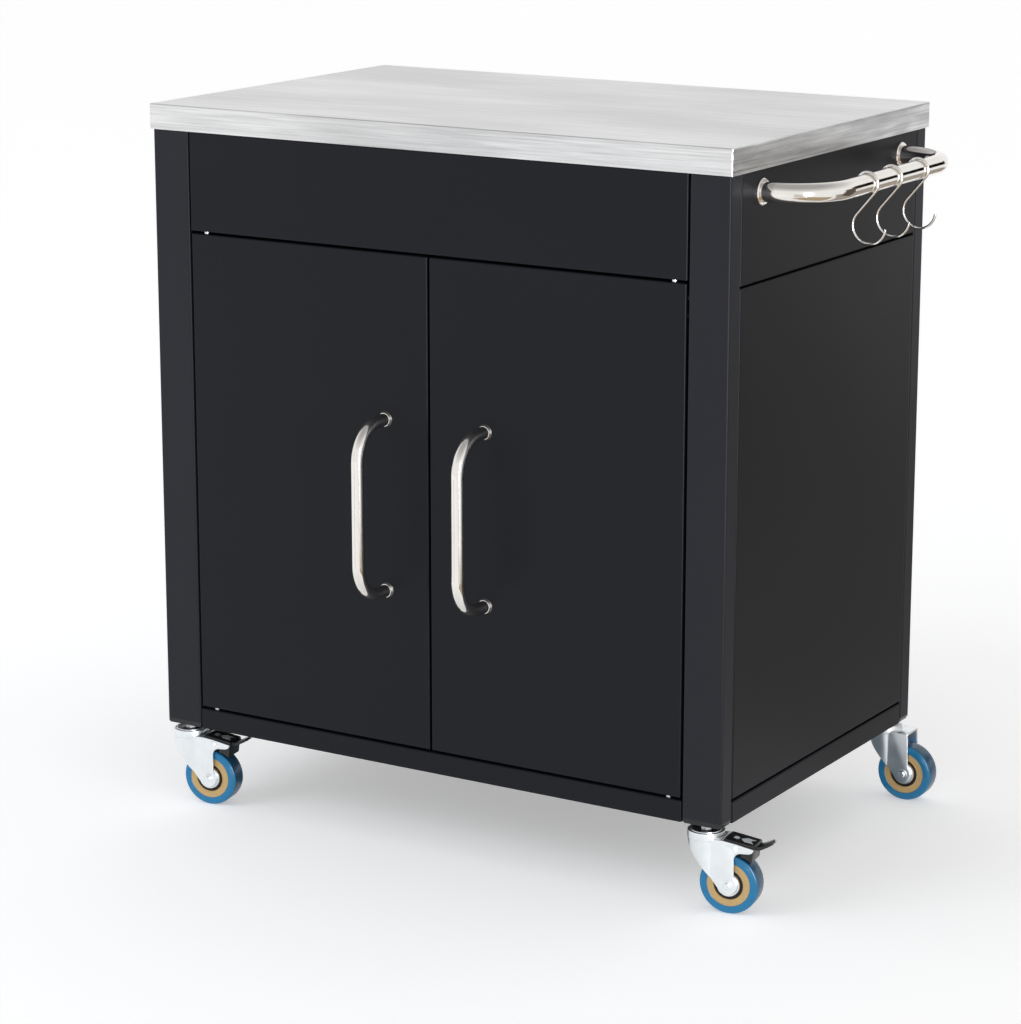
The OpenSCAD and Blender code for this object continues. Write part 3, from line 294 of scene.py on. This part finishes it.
# the powder lay a little unevenly: tone and sheen drift over some 220 mm
haze = add(tree, "ShaderNodeTexNoise", {"Vector": place, "Scale": 1 / 0.22, "Detail": 3.0})
tone = add(tree, "ShaderNodeMix", {"Factor": haze.outputs["Fac"], "A": rgb("#111217"),
                                   "B": rgb("#15171C")}, data_type="RGBA")
rough = add(tree, "ShaderNodeMapRange", {"Value": haze.outputs["Fac"], "To Min": 0.40,
                                         "To Max": 0.50})
relief = add(tree, "ShaderNodeBump", {"Height": peel.outputs["Fac"], "Strength": 0.2,
                                      "Distance": 0.00006})
surface = add(tree, "ShaderNodeBsdfPrincipled", {
    "Base Color": tone.outputs["Result"], "Roughness": rough.outputs["Result"],
    "Specular IOR Level": 0.17, "Normal": relief.outputs["Normal"]})
add(tree, "ShaderNodeOutputMaterial", {"Surface": surface.outputs["BSDF"]})
wear(["front_apron", "upper_side_left", "upper_side_right", "lower_side_left",
      "lower_side_right", "rear_panel", "base_tray", "middle_shelf", "shelf_angles",
      "door_left", "door_right"], coat)


# Legs: the same coat on welded rectangular tube, painted a little lighter than on the panels:
# painted light, for the light that the legs' fronts catch from the right front.

lit_leg_coat = coat.copy()
lit_leg_coat.name = "black_coat_painted_light_legs"
for mixed in lit_leg_coat.node_tree.nodes:
    if mixed.bl_idname == "ShaderNodeMix":
        mixed.inputs["A"].default_value = rgb("#1F2026")
        mixed.inputs["B"].default_value = rgb("#26272C")
wear(["leg_front_left", "leg_front_right", "leg_rear_left", "leg_rear_right"], lit_leg_coat)


# Moulded parts: the plugs in the legs' feet, the magnet catches, the dust caps and the
# brake pedals, all of black glass-filled nylon with a fine spark-eroded grain.

nylon, tree = blank("moulded_black_nylon")
place = add(tree, "ShaderNodeTexCoord").outputs["Object"]
# mould grain of about 0.4 mm, drawn 0.8 mm so that it shows
grain = add(tree, "ShaderNodeTexNoise", {"Vector": place, "Scale": 1 / 0.0008, "Detail": 2.0})
tone = add(tree, "ShaderNodeMix", {"Factor": grain.outputs["Fac"], "A": rgb("#0E0F11"),
                                   "B": rgb("#17181A")}, data_type="RGBA")
relief = add(tree, "ShaderNodeBump", {"Height": grain.outputs["Fac"], "Strength": 0.15,
                                      "Distance": 0.00005})
surface = add(tree, "ShaderNodeBsdfPrincipled", {
    "Base Color": tone.outputs["Result"], "Roughness": 0.28, "Specular IOR Level": 0.5,
    "Normal": relief.outputs["Normal"]})
add(tree, "ShaderNodeOutputMaterial", {"Surface": surface.outputs["BSDF"]})
wear(["leg_plugs", "magnet_catches", "dust_caps", "brake_pedal_front_left",
      "brake_pedal_front_right"], nylon)


# Handles, towel rail, its flanges and the hooks: steel, polished and chrome plated.

chrome, tree = blank("polished_chrome_plate")
place = add(tree, "ShaderNodeTexCoord").outputs["Object"]
# polishing haze and faint finger marks, some 30 mm across
smear = add(tree, "ShaderNodeTexNoise", {"Vector": place, "Scale": 1 / 0.03, "Detail": 3.0})
rough = add(tree, "ShaderNodeMapRange", {"Value": smear.outputs["Fac"], "To Min": 0.07,
                                         "To Max": 0.14})
tone = add(tree, "ShaderNodeMix", {"Factor": smear.outputs["Fac"], "A": rgb("#E2DED8"),
                                   "B": rgb("#EFEBE6")}, data_type="RGBA")
surface = add(tree, "ShaderNodeBsdfPrincipled", {
    "Base Color": tone.outputs["Result"], "Metallic": 1.0,
    "Roughness": rough.outputs["Result"]})
add(tree, "ShaderNodeOutputMaterial", {"Surface": surface.outputs["BSDF"]})
wear(["handle_left", "handle_right", "towel_rail", "rail_flanges", "hook_front",
      "hook_middle", "hook_rear"], chrome)


# Zinc plated steel: forks, guards, axles, ball rings, screws, pins and brackets, pressed or
# turned and bright plated, with the faint clouding of the bath.

zinc, tree = blank("bright_zinc_plate")
place = add(tree, "ShaderNodeTexCoord").outputs["Object"]
# the bath's clouding, some 12 mm across, dulls the plate in soft spots
cloud = add(tree, "ShaderNodeTexNoise", {"Vector": place, "Scale": 1 / 0.012, "Detail": 3.0})
tone = add(tree, "ShaderNodeMix", {"Factor": cloud.outputs["Fac"], "A": rgb("#E3E9EB"),
                                   "B": rgb("#F4F7F8")}, data_type="RGBA")
rough = add(tree, "ShaderNodeMapRange", {"Value": cloud.outputs["Fac"], "To Min": 0.24,
                                         "To Max": 0.36})
surface = add(tree, "ShaderNodeBsdfPrincipled", {
    "Base Color": tone.outputs["Result"], "Metallic": 1.0,
    "Roughness": rough.outputs["Result"]})
add(tree, "ShaderNodeOutputMaterial", {"Surface": surface.outputs["BSDF"]})
corners = [end + "_" + side for end in ("front", "rear") for side in ("left", "right")]
wear(["swivel_balls", "cabinet_screws", "hinge_pins", "handle_screws_left",
      "handle_screws_right", "pivot_brackets_left", "pivot_brackets_right"]
     + [kind + corner for corner in corners for kind in ("fork_", "axle_", "guards_")], zinc)

# stems, nuts and levers came out of a barrel plating bath, which leaves them pale and satin
satin_zinc = zinc.copy()
satin_zinc.name = "satin_barrel_zinc"
for ranged in satin_zinc.node_tree.nodes:
    if ranged.bl_idname == "ShaderNodeMapRange":
        ranged.inputs["To Min"].default_value = 0.52
        ranged.inputs["To Max"].default_value = 0.66
wear(["caster_stems", "brake_lever_front_left", "brake_lever_front_right"], satin_zinc)


# Wheels: a blue polyurethane tyre with round shoulders, cast on a tan nylon core. The core's
# face has a raised inner lip, and a black ring in the recess around its hub is painted shade
# for that recess.

# an edge that turns by more than this stays sharp
SHARP_EDGE = math.radians(35)
# points closer together than this, in metres, are made one
WELD = 1e-6
# flats around a turned piece
SIDES = 72


def turned(name, outline):
    """A piece turned about Z from (radius, height) points in mm, joined into a closed ring."""
    bpy.ops.object.select_all(action="DESELECT")
    radius, height = (value / 1000 for value in outline[0])
    bpy.ops.mesh.primitive_circle_add(vertices=SIDES, radius=radius)
    piece = bpy.context.object
    piece.name = name
    bpy.ops.object.mode_set(mode="EDIT")
    bpy.ops.transform.translate(value=(0, 0, height))
    for point in outline[1:] + outline[:1]:
        wider, higher = (value / 1000 for value in point)
        bpy.ops.mesh.extrude_region_move(
            TRANSFORM_OT_translate={"value": (0, 0, higher - height)})
        bpy.ops.transform.resize(value=(wider / radius, wider / radius, 1),
                                 center_override=(0, 0, higher))
        radius, height = wider, higher
    bpy.ops.mesh.select_all(action="SELECT")
    bpy.ops.mesh.remove_doubles(threshold=WELD)
    bpy.ops.mesh.normals_make_consistent(inside=False)
    bpy.ops.object.mode_set(mode="OBJECT")
    bpy.ops.object.shade_smooth_by_angle(angle=SHARP_EDGE)
    return piece


def placed(pattern, name, place, body, material):
    """A copy of a pattern piece, with its own mesh moved to its place, riding on a body."""
    piece = pattern.copy()
    piece.data = pattern.data.copy()
    piece.name = name
    bpy.context.collection.objects.link(piece)
    piece.data.transform(place)
    piece.data.materials.clear()
    piece.data.materials.append(material)
    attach(piece, body)
    return piece


caster_place = {}
wheel_place = {}
for corner in corners:
    swivel = Vector(joints["swivel_" + corner]["pos_m"])
    spin = joints["wheel_" + corner + "_spin"]
    yaw = math.atan2(-spin["axis"][0], spin["axis"][1])
    caster_place[corner] = (Matrix.Translation((swivel.x, swivel.y, 0))
                            @ Matrix.Rotation(yaw, 4, "Z"))
    wheel_place[corner] = (Matrix.Translation(spin["pos_m"]) @ Matrix.Rotation(yaw, 4, "Z")
                           @ Matrix.Rotation(math.radians(90), 4, "X"))

tyre_rubber, tree = blank("blue_polyurethane_tyre")
place = add(tree, "ShaderNodeTexCoord").outputs["Object"]
# cast colour clouds a little over some 6 mm
cloud = add(tree, "ShaderNodeTexNoise", {"Vector": place, "Scale": 1 / 0.006, "Detail": 3.0})
tone = add(tree, "ShaderNodeMix", {"Factor": cloud.outputs["Fac"], "A": rgb("#0F6E9C"),
                                   "B": rgb("#1B7FB0")}, data_type="RGBA")
# fine moulding grain, 0.3 mm in the real tyre, drawn 0.7 mm so that it shows
grain = add(tree, "ShaderNodeTexNoise", {"Vector": place, "Scale": 1 / 0.0007})
relief = add(tree, "ShaderNodeBump", {"Height": grain.outputs["Fac"], "Strength": 0.15,
                                      "Distance": 0.00005})
surface = add(tree, "ShaderNodeBsdfPrincipled", {
    "Base Color": tone.outputs["Result"], "Roughness": 0.27, "Specular IOR Level": 0.45,
    "Normal": relief.outputs["Normal"]})
add(tree, "ShaderNodeOutputMaterial", {"Surface": surface.outputs["BSDF"]})

# painted shade: the tread is painted a darker, greyer blue than the faces, for the shade on a
# tread turned from the light
shaded_tread_rubber = tyre_rubber.copy()
shaded_tread_rubber.name = "blue_tread_painted_shade"
for mixed in shaded_tread_rubber.node_tree.nodes:
    if mixed.bl_idname == "ShaderNodeMix":
        mixed.inputs["A"].default_value = rgb("#183E58")
        mixed.inputs["B"].default_value = rgb("#22506C")

# the black ring in the hub's recess: its black is painted shade for the recess
shade_ring_rubber, tree = blank("black_ring_painted_recess_shade")
place = add(tree, "ShaderNodeTexCoord").outputs["Object"]
# the ring's black varies a little in tone, some 2 mm across
bloom = add(tree, "ShaderNodeTexNoise", {"Vector": place, "Scale": 1 / 0.002, "Detail": 3.0})
tone = add(tree, "ShaderNodeMix", {"Factor": bloom.outputs["Fac"], "A": rgb("#0B0C0D"),
                                   "B": rgb("#1D1E20")}, data_type="RGBA")
surface = add(tree, "ShaderNodeBsdfPrincipled", {"Base Color": tone.outputs["Result"],
                                                 "Roughness": 0.6, "Specular IOR Level": 0.35})
add(tree, "ShaderNodeOutputMaterial", {"Surface": surface.outputs["BSDF"]})

tan, tree = blank("tan_nylon_core")
place = add(tree, "ShaderNodeTexCoord").outputs["Object"]
# glass fibre shows as streaks of a few mm in the moulded nylon
cloud = add(tree, "ShaderNodeTexNoise", {"Vector": place, "Scale": 1 / 0.004, "Detail": 3.0})
tone = add(tree, "ShaderNodeMix", {"Factor": cloud.outputs["Fac"], "A": rgb("#BA9A64"),
                                   "B": rgb("#CDAE78")}, data_type="RGBA")
rough = add(tree, "ShaderNodeMapRange", {"Value": cloud.outputs["Fac"], "To Min": 0.38,
                                         "To Max": 0.5})
surface = add(tree, "ShaderNodeBsdfPrincipled", {
    "Base Color": tone.outputs["Result"], "Roughness": rough.outputs["Result"],
    "Specular IOR Level": 0.4})
add(tree, "ShaderNodeOutputMaterial", {"Surface": surface.outputs["BSDF"]})

# outlines on one side of a wheel: radius, and distance from its middle plane
TYRE = [(25.55, 12.0), (25.9, 12.3), (30.9, 12.3), (31.2, 12.05), (31.9, 12.05), (33.2, 11.6),
        (34.2, 10.8), (34.8, 9.8), (35.0, 8.6)]
CORE = [(13.6, 8.3), (17.5, 8.3), (17.5, 11.9), (17.8, 12.3), (18.5, 12.3), (19.0, 11.8),
        (19.5, 11.75), (24.9, 11.75), (25.1, 12.0), (25.5, 12.0)]
HUB = [(3.05, 12.3), (13.1, 12.3), (13.6, 11.9)]
RECESS_SHADE_RING = [(13.7, 8.4), (17.4, 8.4), (17.4, 10.4), (16.9, 11.0), (15.6, 11.3), (14.3, 11.0),
        (13.7, 10.4)]


def both_sides(half):
    """A half outline, drawn up to the wheel's middle plane, with its mirror image."""
    return half + [(radius, -height) for radius, height in reversed(half)]


tyre_pattern = turned("tyre_pattern", both_sides(TYRE))
core_pattern = turned("core_pattern", both_sides(HUB + CORE))
shade_ring_pattern = turned("shade_ring_pattern", RECESS_SHADE_RING)
turned_back = Matrix.Rotation(math.radians(180), 4, "X")
# a face whose normal leans less than this towards the axle belongs to the tread
TREAD_LEAN = 0.35
for corner in corners:
    wheel = "wheel_" + corner
    tyre = placed(tyre_pattern, "cast_tyre_" + corner, wheel_place[corner], wheel,
                  tyre_rubber)
    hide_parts("tyre_" + corner)
    # the tread's faces take the darker blue of painted shade
    tyre.data.materials.append(shaded_tread_rubber)
    axle_line = wheel_place[corner].to_3x3() @ Vector((0, 0, 1))
    for face in tyre.data.polygons:
        if abs(face.normal.dot(axle_line)) < TREAD_LEAN:
            face.material_index = 1
    core = placed(core_pattern, "lipped_core_" + corner, wheel_place[corner], wheel,
                  tan)
    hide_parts("core_" + corner)
    # a black ring on each face of the core, painted shade for the recess around the hub
    placed(shade_ring_pattern, "seal_front_" + corner, wheel_place[corner], wheel,
           shade_ring_rubber)
    placed(shade_ring_pattern, "shade_ring_back_" + corner, wheel_place[corner] @ turned_back, wheel,
           shade_ring_rubber)


# Thread guards: thin zinc plated discs between the wheel and the fork's cheeks, pressed with
# two rings, that keep string out of the hub.

# radius, and height over the guard's inner face
GUARD = [(3.05, 0), (12.8, 0), (13.5, 0.4), (13.5, 0.9), (13.1, 1.4), (12.4, 1.5),
         (11.8, 1.3), (11.3, 0.9), (10.7, 1.35), (10.0, 1.5), (9.4, 1.3), (8.9, 0.9),
         (8.3, 1.5), (7.6, 1.85), (3.05, 1.85)]
guard_pattern = turned("guard_pattern", GUARD)
# the guard lies this far from the wheel's middle plane, just clear of the hub
GUARD_PLACE = 0.0126
wheel_face = Matrix.Translation((0, 0, GUARD_PLACE))
for corner in corners:
    front = placed(guard_pattern, "ringed_guard_front_" + corner,
                   wheel_place[corner] @ wheel_face, "fork_" + corner, zinc)
    placed(guard_pattern, "ringed_guard_back_" + corner,
           wheel_place[corner] @ turned_back @ wheel_face, "fork_" + corner,
           zinc)
    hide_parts("guards_" + corner)


# Swivel heads: a bright rim is rolled over the top race, around a dished black dust cap.

# radius from the swivel's axis, and height over the floor
RIM = [(16.6, 93.3), (17.7, 93.3), (17.7, 94.1), (17.5, 94.5), (16.9, 94.5), (16.6, 94.1)]
CAP = [(4.05, 93.3), (16.5, 93.3), (16.5, 93.9), (15.9, 94.0), (14.5, 93.7), (8.6, 93.5),
       (7.8, 93.9), (4.05, 93.95)]
rim_pattern = turned("rim_pattern", RIM)
cap_pattern = turned("cap_pattern", CAP)
for corner in corners:
    placed(rim_pattern, "rolled_rim_" + corner, caster_place[corner], "cabinet",
           zinc)
    cap = placed(cap_pattern, "dished_cap_" + corner, caster_place[corner], "cabinet",
                 nylon)
    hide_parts("dust_caps")
for pattern in (tyre_pattern, core_pattern, shade_ring_pattern, guard_pattern, rim_pattern,
                cap_pattern):
    bpy.data.objects.remove(pattern)


# Forks and brake pedals: the forks are pressed from sheet, so every edge has a small round,
# and the moulded pedals have one too. Each is the frame's own solid with its edges rounded.

def softened(name, node, width, material):
    """A copy of a CAD node with rounds of this width, in metres, on its sharp edges."""
    piece = nodes[node].copy()
    piece.data = nodes[node].data.copy()
    piece.parent = None
    piece.name = name
    bpy.context.collection.objects.link(piece)
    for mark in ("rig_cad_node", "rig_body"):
        del piece[mark]
    bpy.ops.object.select_all(action="DESELECT")
    piece.select_set(True)
    bpy.context.view_layer.objects.active = piece
    bpy.ops.mesh.customdata_custom_splitnormals_clear()
    bpy.ops.object.mode_set(mode="EDIT")
    bpy.ops.mesh.select_all(action="SELECT")
    bpy.ops.mesh.remove_doubles(threshold=2 * WELD)
    bpy.ops.mesh.dissolve_limited(angle_limit=math.radians(1))
    bpy.ops.object.mode_set(mode="OBJECT")
    rounding = piece.modifiers.new("rounds", "BEVEL")
    rounding.limit_method = "ANGLE"
    rounding.angle_limit = SHARP_EDGE
    rounding.width = width
    rounding.segments = 3
    rounding.use_clamp_overlap = False
    bpy.ops.object.modifier_apply(modifier=rounding.name)
    bpy.ops.object.shade_smooth_by_angle(angle=SHARP_EDGE)
    piece.data.materials.clear()
    piece.data.materials.append(material)
    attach(piece, nodes[node]["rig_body"])
    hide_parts(node)


FORK_ROUND = 0.0006
PEDAL_ROUND = 0.0005
for corner in corners:
    softened("pressed_fork_" + corner, "fork_" + corner, FORK_ROUND, zinc)
for side in ("left", "right"):
    softened("moulded_pedal_" + side, "brake_pedal_front_" + side, PEDAL_ROUND,
             nylon)
